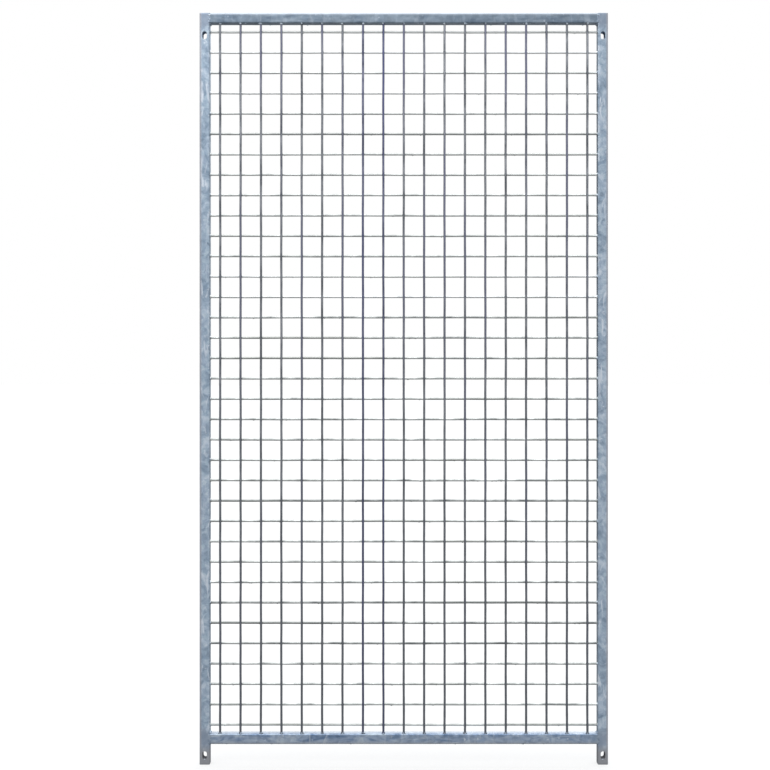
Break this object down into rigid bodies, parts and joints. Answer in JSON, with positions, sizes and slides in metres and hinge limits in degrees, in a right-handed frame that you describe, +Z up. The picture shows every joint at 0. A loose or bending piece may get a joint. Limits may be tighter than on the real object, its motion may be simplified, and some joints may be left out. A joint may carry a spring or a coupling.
{
  "type": "garden gate leaf",
  "caption": "Tall rectangular gate leaf: a square steel tube frame on two feet, filled with welded square wire mesh, with a bolt slot near each end of both stiles.",
  "frame": {"origin": "midway between the two feet at their base, on the centre plane of the frame tube", "axes": "+Z up along the stiles, +X to the right as seen from the front, +Y from the front to the back; the vertical wires lie towards the front"},
  "size_m": [1, 0.0266, 1.8406],
  "materials": {
    "galvanised_tube": "hot-dip galvanised, satin with pale zinc runs",
    "galvanised_wire": "hot-dip galvanised, dull grey",
    "galvanised_weld": "galvanised weld bead, lumpy and brighter than the tube"
  },
  "bodies": {
    "root": {"left_stile": "galvanised_tube", "right_stile": "galvanised_tube", "top_rail": "galvanised_tube", "bottom_rail": "galvanised_tube", "vertical_wire_01": "galvanised_wire", "vertical_wire_02": "galvanised_wire", "vertical_wire_03": "galvanised_wire", "vertical_wire_04": "galvanised_wire", "vertical_wire_05": "galvanised_wire", "vertical_wire_06": "galvanised_wire", "vertical_wire_07": "galvanised_wire", "vertical_wire_08": "galvanised_wire", "vertical_wire_09": "galvanised_wire", "vertical_wire_10": "galvanised_wire", "vertical_wire_11": "galvanised_wire", "vertical_wire_12": "galvanised_wire", "vertical_wire_13": "galvanised_wire", "vertical_wire_14": "galvanised_wire", "vertical_wire_15": "galvanised_wire", "vertical_wire_16": "galvanised_wire", "vertical_wire_17": "galvanised_wire", "vertical_wire_18": "galvanised_wire", "vertical_wire_19": "galvanised_wire", "horizontal_wire_01": "galvanised_wire", "horizontal_wire_02": "galvanised_wire", "horizontal_wire_03": "galvanised_wire", "horizontal_wire_04": "galvanised_wire", "horizontal_wire_05": "galvanised_wire", "horizontal_wire_06": "galvanised_wire", "horizontal_wire_07": "galvanised_wire", "horizontal_wire_08": "galvanised_wire", "horizontal_wire_09": "galvanised_wire", "horizontal_wire_10": "galvanised_wire", "horizontal_wire_11": "galvanised_wire", "horizontal_wire_12": "galvanised_wire", "horizontal_wire_13": "galvanised_wire", "horizontal_wire_14": "galvanised_wire", "horizontal_wire_15": "galvanised_wire", "horizontal_wire_16": "galvanised_wire", "horizontal_wire_17": "galvanised_wire", "horizontal_wire_18": "galvanised_wire", "horizontal_wire_19": "galvanised_wire", "horizontal_wire_20": "galvanised_wire", "horizontal_wire_21": "galvanised_wire", "horizontal_wire_22": "galvanised_wire", "horizontal_wire_23": "galvanised_wire", "horizontal_wire_24": "galvanised_wire", "horizontal_wire_25": "galvanised_wire", "horizontal_wire_26": "galvanised_wire", "horizontal_wire_27": "galvanised_wire", "horizontal_wire_28": "galvanised_wire", "horizontal_wire_29": "galvanised_wire", "horizontal_wire_30": "galvanised_wire", "horizontal_wire_31": "galvanised_wire", "horizontal_wire_32": "galvanised_wire", "horizontal_wire_33": "galvanised_wire", "horizontal_wire_34": "galvanised_wire", "horizontal_wire_35": "galvanised_wire", "corner_welds": "galvanised_weld", "mesh_welds": "galvanised_weld"}
  },
  "joints": []
}
